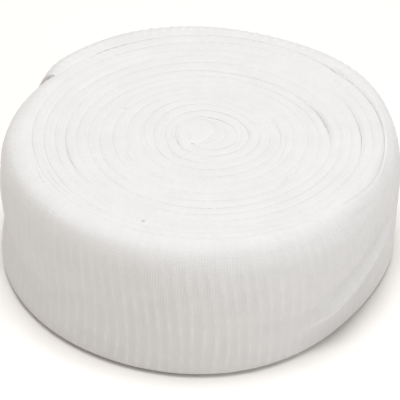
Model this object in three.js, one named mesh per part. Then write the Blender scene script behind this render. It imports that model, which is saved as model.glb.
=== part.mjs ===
// Tubular net bandage roll: a knitted net tube, pressed flat, wound up loosely and stood on its folded edge
import * as THREE from "three";
import { mergeVertices } from "three/addons/utils/BufferGeometryUtils.js";

// Driving dimensions, in millimetres and degrees. Angles grow anticlockwise from +X, seen from above,
// and go on past 360 along the winding, so that one number names both a direction and a turn.
const HEIGHT = 49; // width of the tube pressed flat, which is the height of the roll
const STEP = 9; // turn between two sections
const TURN = 360 / STEP; // sections in one turn
const FIRST_ANGLE = -4680; // where the innermost turn starts
const BARE_ANGLE = 108; // from here on the last turn but one shows on the outside
const PART_ANGLE = BARE_ANGLE + 360; // the last turn leaves the roll here
const CUT_ANGLE = 508; // cut end of the tube
const GAP = 0.35; // between the roll and the loose end

const RIM_IN = 8.5; // how far the top rim is rounded, inwards
const RIM_DOWN = 19; // and downwards
const FOOT_IN = 5; // the same at the foot
const FOOT_UP = 4;

const WAIST = { depth: 2, height: 17, reach: 6, direction: 195, spread: 35 }; // soft hollow in the left wall
const TUCK = { plain: 0.008, most: 0.032, direction: 318, spread: 24 }; // how far the foot is drawn in

// Crease in the lower right wall: it climbs from low to high, over the angles from and to, with soft ends,
// and the wall is drawn in below it
const CREASE = { depth: 1.6, reach: 2.2, drop: 2.6, low: 10.5, high: 17, from: 296, to: 372 };
const CREASE_ENDS = { start: 14, finish: 20, drawnIn: 5 };

// Grooves between the turns: deepest at the two sides, and fading where the roll's side comes into the open
const GROOVE = { shallow: 0.8, deep: 2.0, direction: 15, fade: 36 };
const FOOT_GROOVE = 1.5; // depth of the grooves underneath
const POCKET = { depth: 2.6, angle: 44, spread: 8 }; // dark pocket inside the corner at the back right
const CREST_SPREAD = 0.22; // place of a turn's two top edges, as a share of its thickness
const FULL_TURN = 2.4; // a thinner turn is lower too
const SAGS = [
  { size: 0.25, rate: 0.83, start: 0 },
  { size: 0.25, rate: 1.9, start: 120 },
]; // waves in the height of the turns along the winding

// Folded start of the tube in the middle of the roll: two soft lobes with an S-shaped fold between them
const CORE = { rings: [0.35, 0.7], sink: 0.6, opening: 60 };
const CORE_FOLD = { depth: 1.5, width: 1.5, swing: 2.2, length: 8, direction: 20 };

// Radius of the grooves between the turns on the top face: a row for each turn, from the inside out.
// The last row is the top edge of the turn that shows outside, and goes on in LAST_EDGE.
const DIRECTIONS = { right: 0, backRight: 60, backLeft: 120, left: 190, frontLeft: 240, frontRight: 300 };
const GROOVES = [
  { right: 10.6, backRight: 9.8, backLeft: 10.4, left: 9.6, frontLeft: 10.8, frontRight: 12.2 },
  { right: 14.2, backRight: 13.4, backLeft: 13.8, left: 12.8, frontLeft: 14.8, frontRight: 15.8 },
  { right: 17.6, backRight: 16.6, backLeft: 17.6, left: 16.8, frontLeft: 18.6, frontRight: 19.6 },
  { right: 21.2, backRight: 19.8, backLeft: 20.8, left: 20.8, frontLeft: 23.0, frontRight: 23.4 },
  { right: 24.6, backRight: 23.2, backLeft: 24.6, left: 25.6, frontLeft: 27.4, frontRight: 27.6 },
  { right: 28.8, backRight: 27.2, backLeft: 28.0, left: 30.2, frontLeft: 32.0, frontRight: 32.0 },
  { right: 33.2, backRight: 30.6, backLeft: 31.4, left: 34.6, frontLeft: 36.2, frontRight: 36.4 },
  { right: 37.0, backRight: 33.8, backLeft: 34.4, left: 38.2, frontLeft: 39.8, frontRight: 40.0 },
  { right: 40.6, backRight: 37.2, backLeft: 37.8, left: 42.0, frontLeft: 43.4, frontRight: 43.4 },
  { right: 44.0, backRight: 42.0, backLeft: 42.2, left: 45.4, frontLeft: 46.8, frontRight: 46.8 },
  { right: 47.4, backRight: 46.2, backLeft: 46.2, left: 48.8, frontLeft: 50.2, frontRight: 50.0 },
  { right: 50.8, backRight: 50.2, backLeft: 50.0, left: 52.4, frontLeft: 53.6, frontRight: 52.8 },
  { right: 54.4, backRight: 54.2, backLeft: 53.9, left: 56.2, frontLeft: 56.8, frontRight: 55.6 },
  { right: 58.4, backRight: 58.2, backLeft: 58.0, left: 59.6, frontLeft: 59.8, frontRight: 58.0 },
];
const LAST_EDGE = [
  { angle: 360, radius: 60.8 },
  { angle: 420, radius: 62.0 },
  { angle: 468, radius: 63.2 },
  { angle: 508, radius: 62.6 },
];

// Outline of the roll half way up, seen from above, with the bump of the corner at the back right
const OUTLINE = [
  { angle: 108, radius: 65.9 },
  { angle: 150, radius: 65.5 },
  { angle: 175, radius: 66.4 },
  { angle: 200, radius: 66.2 },
  { angle: 235, radius: 66.4 },
  { angle: 270, radius: 66.2 },
  { angle: 305, radius: 63.8 },
  { angle: 340, radius: 61.4 },
  { angle: 370, radius: 65.5 },
  { angle: 400, radius: 69.7 },
  { angle: 430, radius: 69.2 },
  { angle: 468, radius: 70.8 },
  { angle: 490, radius: 70.2 },
  { angle: 508, radius: 68.8 },
];

// Steps down the outside, between the rounded rim and the rounded foot
const RIM_STEPS = 5;
const FOOT_STEPS = 3;
const WALL_HEIGHTS = [26, 22.5, 19.5];
const CREASE_STEPS = [1.4, -0.6, -2.6, -5.2]; // above and below the crease

// The loose end: how far it stands off the roll at its cut, which slants back below the rim
const STAND_OFF = 1.3;
const CUT_SLANT = { turn: 6, from: 48, to: 30 };
const END_SECTIONS = 8;
const END_SHOULDER = 2.2; // height of its rounded lower fold
const END_TOP = 0.3; // how far its upper fold lies below the rim
const END_LEAN = 0.4; // place of that fold between its outer and its inner face

const NET = { color: 0xe8e6e1, roughness: 0.95, metalness: 0 };

const radians = THREE.MathUtils.degToRad;
const mix = THREE.MathUtils.lerp;
const { smoothstep } = THREE.MathUtils;

// A bell of height 1 around a middle, with the given spread
const bell = (x, middle, spread) => Math.exp(-(((x - middle) / spread) ** 2));

// Direction of an angle along the winding, from 0 to 360
const direction = (angle) => ((angle % 360) + 360) % 360;

// Smallest turn between an angle's direction and another one
const turnFrom = (angle, other) => Math.abs(((angle - other + 180) % 360 + 360) % 360 - 180);

// A smooth line through the rows of a table, as a cubic between each two rows
function smoothLine(rows) {
  const slope = (i) => {
    const a = rows[Math.max(i - 1, 0)];
    const b = rows[Math.min(i + 1, rows.length - 1)];
    return (b.radius - a.radius) / (b.angle - a.angle);
  };
  return (angle) => {
    const before = rows.findLastIndex((row) => row.angle <= angle);
    const i = THREE.MathUtils.clamp(before, 0, rows.length - 2);
    const [a, b] = [rows[i], rows[i + 1]];
    const span = b.angle - a.angle;
    const t = THREE.MathUtils.clamp((angle - a.angle) / span, 0, 1);
    const bend = (t - 1) ** 2 * t * slope(i) * span + (t - 1) * t ** 2 * slope(i + 1) * span;
    return mix(a.radius, b.radius, t * t * (3 - 2 * t)) + bend;
  };
}

const grooveRows = GROOVES.flatMap((row, turn) =>
  Object.entries(DIRECTIONS).map(([name, at]) => ({
    angle: FIRST_ANGLE + 360 * turn + at,
    radius: row[name],
  })),
);
const grooveRadius = smoothLine([...grooveRows, ...LAST_EDGE]);
const outlineRadius = smoothLine(OUTLINE);

// Angle of the turn that shows outside in the same direction
const outside = (angle) => (angle >= BARE_ANGLE ? angle : BARE_ANGLE + direction(angle - BARE_ANGLE));

// Height of the crease in the lower right wall, which climbs towards the back
function creaseHeight(angle) {
  return mix(CREASE.low, CREASE.high, smoothstep(outside(angle), CREASE.from, CREASE.to));
}

// How marked that crease is, from 0 to 1
function creaseShare(angle) {
  const at = outside(angle);
  const start = smoothstep(at, CREASE.from - CREASE_ENDS.start, CREASE.from + CREASE_ENDS.start);
  return start * (1 - smoothstep(at, CREASE.to, CREASE.to + CREASE_ENDS.finish));
}

// How far the rounded rim and foot lie inside the wall at a height
function rounding(z) {
  const up = Math.max(0, (z - HEIGHT + RIM_DOWN) / RIM_DOWN);
  const down = Math.max(0, (FOOT_UP - z) / FOOT_UP);
  return RIM_IN * (1 - Math.sqrt(1 - up * up)) + FOOT_IN * (1 - Math.sqrt(1 - down * down));
}

// Drawing in of the foot, as a share of the radius
const footTuck = (angle) => TUCK.plain + TUCK.most * bell(turnFrom(angle, TUCK.direction), 0, TUCK.spread);

// Radius of the outside at an angle and a height, with its waist, drawn-in foot and crease
function wallRadius(angle, z) {
  const crease = creaseHeight(angle);
  const share = creaseShare(angle);
  const low = mix(FOOT_UP, crease - CREASE_ENDS.drawnIn, share);
  const fall = 1 - smoothstep(z, low, mix(HEIGHT - RIM_DOWN, crease, share));
  const waist = WAIST.depth * bell(z, WAIST.height, WAIST.reach)
    * bell(turnFrom(angle, WAIST.direction), 0, WAIST.spread);
  const fold = CREASE.depth * share * bell(z, crease - CREASE.drop, CREASE.reach);
  return outlineRadius(angle) * (1 - footTuck(angle) * fall) - waist - fold - rounding(z);
}

// Highest and lowest reach of the turns at a radius, inside the rounded rim and foot
function rimHeight(angle, radius) {
  const inset = THREE.MathUtils.clamp(1 - (outlineRadius(outside(angle)) - radius) / RIM_IN, 0, 1);
  return HEIGHT - RIM_DOWN * (1 - Math.sqrt(1 - inset * inset));
}

function footHeight(angle, radius) {
  const wall = outlineRadius(outside(angle)) * (1 - footTuck(angle));
  const inset = THREE.MathUtils.clamp(1 - (wall - radius) / FOOT_IN, 0, 1);
  return FOOT_UP * (1 - Math.sqrt(1 - inset * inset));
}

// How far the turns sag below the full height along the winding
function sag(angle) {
  const dip = ({ size, rate, start }) => size * (1 + Math.sin(radians(rate * angle + start)));
  return SAGS.reduce((sum, wave) => sum + dip(wave), 0);
}

// Depth of the groove on the top face
function grooveDepth(angle) {
  const side = Math.cos(radians(angle - GROOVE.direction)) ** 2;
  const pocket = POCKET.depth * bell(angle, POCKET.angle, POCKET.spread);
  const covered = 1 - smoothstep(angle, BARE_ANGLE, BARE_ANGLE + GROOVE.fade);
  return (mix(GROOVE.shallow, GROOVE.deep, side) + pocket) * covered;
}

// A point from its angle, radius and height
function place(angle, radius, z) {
  const at = radians(direction(angle));
  return new THREE.Vector3(radius * Math.cos(at), radius * Math.sin(at), z);
}

// Groove between two turns: its point on top and its point underneath
function groove(angle) {
  const radius = grooveRadius(angle);
  const low = radius * (1 - footTuck(angle));
  return {
    top: { radius, z: rimHeight(angle, radius) - grooveDepth(angle) - sag(angle) },
    foot: { radius: low, z: footHeight(angle, low) + (angle < BARE_ANGLE ? FOOT_GROOVE : 0) },
  };
}

// Inner side of the first turn, which opens from nothing against the folded start of the tube
function coreRim(angle) {
  const open = smoothstep(angle, FIRST_ANGLE, FIRST_ANGLE + CORE.opening);
  const thickness = (grooveRadius(FIRST_ANGLE + 360) - grooveRadius(FIRST_ANGLE)) * open;
  const { top, foot } = groove(angle);
  return {
    top: { radius: top.radius - thickness, z: top.z },
    foot: { radius: foot.radius - thickness, z: foot.z },
  };
}

// Two top edges of a turn between its inner and outer groove, lower where the turn is thin
function crests(angle, inner, outer, heightAt, up) {
  const full = Math.min(1, (outer.radius - inner.radius) / FULL_TURN);
  return [CREST_SPREAD, 1 - CREST_SPREAD].map((share) => {
    const radius = mix(inner.radius, outer.radius, share);
    return { radius, z: mix(mix(inner.z, outer.z, share), heightAt(angle, radius) - up, full) };
  });
}

// Section of one turn: its points on top and underneath, both from the inside outwards
function turnSection(angle) {
  const innerAngle = angle - 360;
  const inner = innerAngle >= FIRST_ANGLE ? groove(innerAngle) : coreRim(angle);
  const outer = groove(angle);
  const at = (point) => place(angle, point.radius, point.z);
  const top = [inner.top, ...crests(angle, inner.top, outer.top, rimHeight, sag(angle)), outer.top];
  const foot = [inner.foot, ...crests(angle, inner.foot, outer.foot, footHeight, 0), outer.foot];
  return { top: top.map(at), foot: foot.map(at) };
}

// Heights down the outside, from a start on the rim to the foot
function wallHeights(angle, start, end) {
  const shoulder = HEIGHT - RIM_DOWN;
  const first = Math.asin(THREE.MathUtils.clamp((start - shoulder) / RIM_DOWN, 0, 1));
  const last = Math.asin(THREE.MathUtils.clamp((FOOT_UP - end) / FOOT_UP, 0, 1));
  const steps = (count) => Array.from({ length: count }, (_, i) => i);
  const rim = steps(RIM_STEPS).map((i) => shoulder + RIM_DOWN * Math.sin(first * (1 - (i + 1) / RIM_STEPS)));
  const crease = CREASE_STEPS.map((step) => creaseHeight(angle) + step);
  const foot = steps(FOOT_STEPS).map((i) => FOOT_UP * (1 - Math.sin(last * (i / FOOT_STEPS))));
  return [...rim, ...WALL_HEIGHTS, ...crease, ...foot];
}

// The outside of a turn, from its top edge down to its foot
function outsideRow(angle) {
  const { top, foot } = groove(angle);
  const wall = wallHeights(angle, top.z, foot.z).map((z) => place(angle, wallRadius(angle, z), z));
  return [place(angle, top.radius, top.z), ...wall, place(angle, foot.radius, foot.z)];
}

// Collects triangles and closes them into one geometry
class Skin {
  corners = [];

  triangle(a, b, c) {
    const same = (p, q) => p.distanceToSquared(q) < 1e-10;
    if (!same(a, b) && !same(b, c) && !same(c, a)) {
      this.corners.push(...a, ...b, ...c);
    }
  }

  // Faces between two rows of points with as many points in each
  strip(row, next) {
    for (let k = 0; k + 1 < row.length; k += 1) {
      this.triangle(row[k], row[k + 1], next[k + 1]);
      this.triangle(row[k], next[k + 1], next[k]);
    }
  }

  // A flat end face across the winding, from its outline. It looks forward along the winding, or back.
  end(outline, angle, forward) {
    const flat = outline.map((p) => new THREE.Vector2(p.dot(place(angle, 1, 0)), p.z));
    const clockwise = THREE.ShapeUtils.isClockWise(flat);
    for (const [a, b, c] of THREE.ShapeUtils.triangulateShape(flat, [])) {
      const corners = clockwise === forward ? [a, c, b] : [a, b, c];
      this.triangle(...corners.map((i) => outline[i]));
    }
  }

  geometry() {
    const geometry = new THREE.BufferGeometry();
    geometry.setAttribute("position", new THREE.Float32BufferAttribute(this.corners, 3));
    const merged = mergeVertices(geometry, 1e-4);
    merged.computeVertexNormals();
    return merged;
  }
}

// Height of the folded start of the tube, with its S-shaped fold
function coreHeight(angle, radius) {
  const along = radius * Math.cos(radians(angle - CORE_FOLD.direction));
  const across = radius * Math.sin(radians(angle - CORE_FOLD.direction));
  const off = across - CORE_FOLD.swing * Math.sin((Math.PI * along) / CORE_FOLD.length);
  return HEIGHT - CORE.sink - CORE_FOLD.depth * bell(off, 0, CORE_FOLD.width);
}

// Section of the folded start, from the middle out on top and back underneath
function coreRow(angle) {
  const { top, foot } = coreRim(angle);
  const rings = CORE.rings.map((share) => {
    const radius = top.radius * share;
    return place(angle, radius, coreHeight(angle, radius));
  });
  return {
    top: [place(0, 0, coreHeight(0, 0)), ...rings, place(angle, top.radius, top.z)],
    foot: [place(angle, foot.radius, foot.z), place(0, 0, FOOT_GROOVE)],
  };
}

function rollGeometry() {
  const skin = new Skin();
  for (let i = 0; i < TURN; i += 1) {
    const here = coreRow(FIRST_ANGLE + STEP * i);
    const next = coreRow(FIRST_ANGLE + STEP * ((i + 1) % TURN));
    skin.strip(here.top, next.top);
    skin.strip(here.foot, next.foot);
  }
  for (let angle = FIRST_ANGLE; angle < PART_ANGLE; angle += STEP) {
    const here = turnSection(angle);
    const next = turnSection(angle + STEP);
    skin.strip(here.top, next.top);
    skin.strip(here.foot.reverse(), next.foot.reverse());
    if (angle >= BARE_ANGLE) {
      skin.strip(outsideRow(angle), outsideRow(angle + STEP));
    }
  }
  skin.end(stepOutline(), BARE_ANGLE, true);
  return skin.geometry();
}

// Face where the last turn leaves the roll: round the end of that turn and back up the wall behind it
function stepOutline() {
  const end = turnSection(PART_ANGLE);
  return [
    ...end.top.slice(0, -1),
    ...outsideRow(PART_ANGLE),
    ...end.foot.reverse().slice(1, -1),
    ...outsideRow(BARE_ANGLE).reverse().slice(0, -1),
  ];
}

// Section of the loose end at a share of its length: down its outer face, round the lower fold and up
// its inner face
function looseSection(share) {
  const start = PART_ANGLE + THREE.MathUtils.radToDeg(GAP / outlineRadius(PART_ANGLE));
  const stand = GAP + STAND_OFF * smoothstep(share, 0, 1);
  const top = groove(mix(start, CUT_ANGLE, share)).top.z;
  const heights = wallHeights(mix(start, CUT_ANGLE, share), top, 0).filter((z) => z > END_SHOULDER);
  const low = heights.at(-1);

  const angleAt = (z) => {
    const slant = CUT_SLANT.turn * (1 - smoothstep(z, CUT_SLANT.to, CUT_SLANT.from));
    return mix(start, CUT_ANGLE - slant, share);
  };
  const outerAt = (z) => wallRadius(angleAt(z), z);
  const innerAt = (z) => wallRadius(angleAt(z) - 360, z) + stand;

  const edge = place(angleAt(top), mix(outerAt(top), innerAt(top), END_LEAN), top - END_TOP);
  const outer = heights.map((z) => place(angleAt(z), outerAt(z), z));
  const fold = place(angleAt(low), (outerAt(low) + innerAt(low)) / 2, 0);
  const inner = heights.map((z) => place(angleAt(z), innerAt(z), z));
  return [edge, ...outer, fold, ...inner.reverse()];
}

function looseEndGeometry() {
  const skin = new Skin();
  const rows = Array.from({ length: END_SECTIONS + 1 }, (_, i) => looseSection(i / END_SECTIONS));
  for (let i = 0; i < END_SECTIONS; i += 1) {
    skin.strip([...rows[i], rows[i][0]], [...rows[i + 1], rows[i + 1][0]]);
  }
  skin.end(rows[0], PART_ANGLE, false);
  skin.end(rows[END_SECTIONS], CUT_ANGLE, true);
  return skin.geometry();
}

function piece(name, geometry) {
  const mesh = new THREE.Mesh(geometry, new THREE.MeshStandardMaterial(NET));
  mesh.name = name;
  return mesh;
}

// The winding's axis is set so that the whole part stands centred on the origin
function centred(group) {
  const middle = new THREE.Box3().setFromObject(group).getCenter(new THREE.Vector3());
  group.position.set(-middle.x, -middle.y, 0);
  group.updateMatrixWorld(true);
  return group;
}

const bandage = new THREE.Group();
bandage.add(piece("roll", rollGeometry()), piece("loose_end", looseEndGeometry()));

export default centred(bandage);
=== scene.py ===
"""Tubular net bandage roll: a knitted net tube, pressed flat, wound up loosely and stood on its folded edge.

The winding is a set of formulas in millimetres and degrees. Angles grow anticlockwise from +X, seen from
above, and go on past 360 along the winding, so that one number names both a direction and a turn.
"""

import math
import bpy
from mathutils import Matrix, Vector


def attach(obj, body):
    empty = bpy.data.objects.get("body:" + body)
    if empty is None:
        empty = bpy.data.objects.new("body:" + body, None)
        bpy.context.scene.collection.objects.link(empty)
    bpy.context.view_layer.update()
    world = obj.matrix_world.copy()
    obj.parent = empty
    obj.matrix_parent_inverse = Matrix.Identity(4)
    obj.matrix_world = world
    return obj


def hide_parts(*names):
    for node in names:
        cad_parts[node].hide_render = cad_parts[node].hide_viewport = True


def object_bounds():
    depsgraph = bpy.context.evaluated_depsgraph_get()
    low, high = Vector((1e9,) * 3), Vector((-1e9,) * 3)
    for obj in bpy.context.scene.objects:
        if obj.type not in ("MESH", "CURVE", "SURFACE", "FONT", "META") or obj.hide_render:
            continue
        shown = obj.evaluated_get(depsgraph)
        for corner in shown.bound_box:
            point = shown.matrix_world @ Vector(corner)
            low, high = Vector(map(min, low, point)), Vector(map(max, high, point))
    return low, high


bl_info = {
    "name": "Tubular Net Bandage Roll",
    "version": (1, 0, 0),
    "blender": (4, 5, 0),
    "location": "3D View > Sidebar > Bandage Roll",
    "description": "Winds a flat-pressed tubular net bandage into a loose roll, with its loose end",
    "category": "Object",
}

import bpy
import numpy as np
from bpy.props import FloatProperty, FloatVectorProperty, PointerProperty
from mathutils import Matrix, Vector

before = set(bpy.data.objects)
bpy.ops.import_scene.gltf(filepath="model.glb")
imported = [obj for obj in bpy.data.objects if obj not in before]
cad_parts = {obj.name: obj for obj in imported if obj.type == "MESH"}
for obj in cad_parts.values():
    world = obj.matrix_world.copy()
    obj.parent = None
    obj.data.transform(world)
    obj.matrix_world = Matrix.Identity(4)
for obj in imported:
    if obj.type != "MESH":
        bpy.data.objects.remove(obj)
CAD_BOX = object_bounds()

MM = 0.001  # metres in a millimetre
AXIS = (0.9276, -1.9264)  # axis of the winding on the floor, mm

# Where the parts of the winding begin and end
START_ANGLE = -4810  # the tube's first end, folded into the middle of the roll
PAD_ANGLE = -4450  # up to here the first turn lies round the folded pad
BARE_ANGLE = 108  # from here on the last turn but one shows on the outside
PART_ANGLE = 468  # the last turn leaves the roll here
CUT_ANGLE = 508  # cut end of the tube
JOIN_ANGLE = 80  # the mesh of the inner turns ends here, where the last turn covers its wall
SWELL_ANGLE = -1600  # from here on the turns swell towards the shape of the outside
FREE_SIDE_ANGLE = 490  # from here on the ribs rise on the inner side of the loose end
PEEL = (484, 506)  # between these angles the loose end comes away from the roll
BARE_FADE = 36  # degrees past BARE_ANGLE over which the groove ends
BARE_WALL_FADE = 18  # degrees before BARE_ANGLE over which the wall comes out to its full radius
BARE_RIB_FADE = 30  # degrees past BARE_ANGLE over which the ribs come up
SAG_FADE = 900  # degrees past START_ANGLE over which the waves in the height begin

# Radius of the groove round each turn on the top face, mm: a row for each turn, from the inside out
FIRST_ROW_ANGLE = -4680
DIRECTIONS = (0, 60, 120, 190, 240, 300)  # right, back right, back left, left, front left, front right
GROOVES = (
    (10.6, 9.8, 10.4, 9.6, 10.8, 12.2),
    (14.2, 13.4, 13.8, 12.8, 14.8, 15.8),
    (17.6, 16.6, 17.6, 16.8, 18.6, 19.6),
    (21.2, 19.8, 20.8, 20.8, 23.0, 23.4),
    (24.6, 23.2, 24.6, 25.6, 27.4, 27.6),
    (28.8, 27.2, 28.0, 30.2, 32.0, 32.0),
    (33.2, 30.6, 31.4, 34.6, 36.2, 36.4),
    (37.0, 33.8, 34.4, 38.2, 39.8, 40.0),
    (40.6, 37.2, 37.8, 42.0, 43.4, 43.4),
    (44.0, 42.0, 42.2, 45.4, 46.8, 46.8),
    (47.4, 46.2, 46.2, 48.8, 50.2, 50.0),
    (50.8, 50.2, 50.0, 52.4, 53.6, 52.8),
    (54.4, 54.2, 53.9, 56.2, 56.8, 55.6),
    (58.4, 58.2, 58.0, 59.6, 59.8, 58.0),
)
FIRST_EDGE = ((-4810, 6.7), (-4790, 7.2), (-4770, 7.9), (-4740, 9.0), (-4710, 10.0))
LAST_EDGE = ((360, 60.8), (420, 62.0), (468, 63.2), (500, 62.9), (508, 61.3))

# Outline of the roll half way up, seen from above: angle and radius in mm
OUTLINE = (
    (108, 65.9), (150, 65.5), (175, 66.4), (200, 66.2), (235, 66.4), (270, 66.2), (305, 63.8),
    (340, 61.4), (370, 65.5), (400, 69.7), (430, 69.2), (468, 70.8), (490, 70.2), (501, 69.3),
    (508, 67.0),
)

# Outline of the folded pad in the middle: direction and radius in mm
PAD = (
    (0, 2.2), (30, 3.6), (60, 6.0), (90, 8.4), (115, 9.3), (140, 9.4), (165, 9.1), (190, 8.8),
    (205, 9.0), (215, 8.6), (225, 7.4), (235, 6.1), (250, 4.7), (270, 3.3), (300, 2.2), (330, 1.9),
)
PAD_MIDDLE = (-3.8, 2.2)  # mm from the axis

# Forms pressed into the wall, mm and degrees
WAIST = {"depth": 1.3, "height": 16.0, "reach": 7.5, "direction": 195, "spread": 35}
TUCK = {"plain": 0.008, "most": 0.032, "direction": 318, "spread": 24}
CREASE = {
    "heights": (12, 23.5), "rises": (290, 360), "opens": (295, 319), "ends": (336, 366), "drawn_in": 7.5,
}
RIM_POWER = {"plain": 2.2, "more": 1.6, "direction": 212, "spread": 38}  # how square the rounded rim is
SWELL_POWER = 1.3  # how late the turns take on the shape of the outside: 1 is evenly

# Folds along the crease: height over it, reach and depth
CREASE_FOLDS = ((0.2, 2.6, -1.8), (6.2, 4.0, 0.9), (-5.4, 3.0, 0.4))

# Hollows pressed round the wall: height, reach and depth
BANDS = ((43.6, 1.5, 0.16), (36.0, 2.4, 0.14), (24.0, 1.6, 0.16), (18.6, 2.4, 0.28))
BAND_SWAY = 0.8  # how far they wander up and down, mm

# Waves in the height of the turns: size, rate along the winding and start
SAGS = ((0.15, 1, 200), (0.1, 2, 120), (0.03, 0.83, 0), (0.03, 1.9, 120))

# Shape of a fold, mm, shares and heights
GROOVE_DIRECTION = 15  # the grooves are deepest here and on the opposite side
FOLD_POWER = 2.2  # how a fold goes down into its groove: 1 is straight, and more is rounder
DEEPEST_SHARE = 0.9  # a groove is no deeper than this share of the turn's thickness
WIDEST_SHARE = 0.42  # and the round edge of a fold no wider than this share
THINNEST = {"top": 0.05, "foot": 0.2}  # a turn is never thinner than this in its top and lower folds
FURROW = {"reach": 0.35, "least": 0.25}  # second line in a fold, and its share in front and behind
FOOT_LEVEL = 0.3  # height at which the lower folds are measured
TOP_LINES = (40, 46)  # heights between which the lines of the top face fade in
EDGE_HANG = (34, 40)  # heights between which the inner side comes out to the top fold's edge

# The loose end and its cut, mm and degrees
FREE_FOLD_DEPTH = 0.8  # how far the top fold of the loose end rounds down on its inner side
CUT_SLANT = {"forward": 0.6, "heights": (36, 52)}  # the cut edge leans forward below the rim
CUT_LAYER = 0.7  # thickness of one layer of net
CUT_SHARE = 0.05  # width of the slit between the layers, as a share of the tube's thickness
CUT_DEPTH = 0.15  # degrees that the slit goes back

# Grooves that gape where the turns lie apart: turn, direction, spread, and more width and depth in mm
GAPES = (
    (13, 12, 18, 0.08, 0.7), (11, 8, 16, 0.06, 0.45), (8, 13, 12, 0.16, 0.8), (8, 72, 16, 0.04, 0.3),
    (4, 12, 24, 0.02, 0.2), (1, 10, 26, 0.02, 0.15), (9, 200, 14, 0.02, 0.2), (11, 214, 22, 0.02, 0.2),
    (13, 41, 4.5, 0.22, 0.8),
)

# Lines in the folds on the top face: direction, spread, radius, its growth for a degree, reach and depth, mm
LINES = (
    (8, 14, 60.6, 0.04, 0.45, 0.45), (6, 12, 56.3, 0.02, 0.40, 0.35), (20, 18, 63.5, 0.05, 0.35, 0.30),
    (204, 13, 58.3, 0.11, 0.35, 0.45), (216, 24, 55.4, 0.01, 0.40, 0.35), (213, 20, 47.6, 0.04, 0.55, 0.25),
    (208, 14, 28.1, 0.07, 0.40, 0.40), (318, 12, 35.4, -0.096, 0.42, 0.85), (271, 18, 39.8, 0.00, 0.80, 0.22),
    (133, 26, 47.0, -0.01, 1.20, 0.28), (30, 22, 33.5, 0.00, 0.40, 0.20), (345, 20, 26.2, -0.02, 0.40, 0.25),
)

# Lines in and round the folded pad, about a centre of their own, in the same terms
CORE_MIDDLE = (-2.2, 0.5)
CORE_LINES = (
    (180, 28, 9.0, 0.00, 0.45, 0.55), (95, 30, 9.0, 0.00, 0.35, 0.25), (345, 40, 8.4, 0.01, 0.40, 0.35),
    (255, 30, 9.2, 0.00, 0.50, 0.22), (300, 34, 5.2, 0.02, 0.40, 0.25), (352, 26, 13.6, 0.00, 0.60, 0.30),
    (190, 22, 18.0, 0.00, 0.50, 0.25), (270, 34, 13.2, 0.00, 0.50, 0.22), (60, 26, 5.0, -0.02, 0.50, 0.18),
)

# The folded pad in the middle, mm
PAD_SHOULDER = 1.5  # width of its round edge
PAD_WIDEST_SHARE = 0.6  # the round edge is no wider than this share of the way from the middle
PAD_DEPTH = 0.06  # depth of the groove round it
PAD_SINK = 0.05  # how far it lies below the turns
PAD_ALONG = (0.94, 0.34)  # its soft line runs square to this direction, seen from above
PAD_LINE = {"depth": 0.25, "bow": 0.04, "along": (-2.4, 0.6), "across": (-0.5, 4)}  # place and reach
PAD_CROWN = {"height": 0.1, "square_of_reach": 40}

# The net's cross ribs, in shares, degrees and mm
RIBS = {
    "plain": 0.24,  # their height elsewhere than at the sides
    "sides": ((258, 40, 0.7), (92, 44, 0.6)),  # direction, spread and added height
    "front": (258, 56, 0.85),  # direction, spread and loss on the front shoulder
    "shoulder": (38, 44),  # heights between which that loss comes in
    "off_crease": (6, 0.8),  # reach and loss along the crease
    "foot": (0.4, 4),  # heights between which they begin
    "top": (6, 2.5),  # depths below the rim between which the top folds take over
    "below": 0.35,  # share of a rib's height that lies below the skin
}
RIB_POWER = 4.5  # how narrow the ribs are
RIB_BEND = {"below_rim": 4, "half_turns": 0.75}  # where their lean begins, and how far its sine goes
RIB_SHIFTS = ((0.14, 0.6, 60, 21), (0.05, 0.4, 16, 22))  # share of the pitch, lean, period and seed
RIB_AMOUNT = {"plain": 0.9, "patches": 0.35, "streaks": 0.28, "most": 1.6}  # uneven height of the ribs
PICOT_SHARE = 0.14  # height of the ribs on the folds inside the roll, as a share of that outside
PAD_RIB_SHARE = 0.3  # tone of the ribs on the pad, as a share of that on the folds

# Rows of the mesh down one side of the section: level and round part of a fold, and rim, wall and foot
INNER_ROWS = {"top": (5, 4), "wall": (1, 1, 1), "foot": (2, 3)}
OUTER_ROWS = {"top": (5, 4), "wall": (10, 24, 4), "foot": (2, 3)}
PAD_ROWS = {"around": 120, "crest": 8, "shoulder": 6}
SHARP = math.radians(48)  # edges with more of a turn than this are shaded as edges

# Noise in the net, in cells for each millimetre of cloth, and patches in cells for each metre
SLUBS = {"Scale": 0.22, "Detail": 3.0, "Roughness": 0.6}
FINE_YARN = {"Scale": 2.2, "Detail": 4.0, "Roughness": 0.65}
STRANDS = {"Scale": 1.0, "Detail": 3.0, "Roughness": 0.6}
STRAND_STRETCH = (0.22, 1.5, 1)  # strands are long along the tube and thin across it
PATCHES = {"Scale": 110, "Detail": 2.0}

# How the stitches run, and what each part adds to the relief and to the tone of the net
STITCH = {"drift": 1.6, "slant": 0.5, "sway": 2.0, "gap": 0.8}
RELIEF = {"stitches": 0.6, "fine": 0.25, "strands": 0.15}
# The ribs' tone is partly the net's own, thicker yarn on their crests, and partly painted light and shade:
# crests lighter, valleys darker
TONE = {"stitches": 0.15, "fine": 0.3, "strands": 0.22, "ribs": 0.4, "patches": 0.5, "less": 0.15}
PAINTED_FOOT_SHADE = {"to": 36, "depth": 0.45}  # painted shade: the net's colour darkens a little from this height down, mm
DULL = {"most": 0.97, "less": 0.06}  # roughness between the stitches, and how much less it is on them

# Where the stitches are pressed flat, at the start of the winding: place from the axis, size and share
EASED = (((2.4, -0.6, 48.6), 4.5, 0.36), ((-4.3, -5.1, 48.6), 2.5, 0.4))

# Small dark flecks on the cloth: place from the axis in mm, size in mm and strength
FLECKS = (
    ((-18.4, -48.4, 48.3), 1.0, 0.45),
    ((-26.4, 13.4, 48.3), 1.0, 0.14),
)

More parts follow.
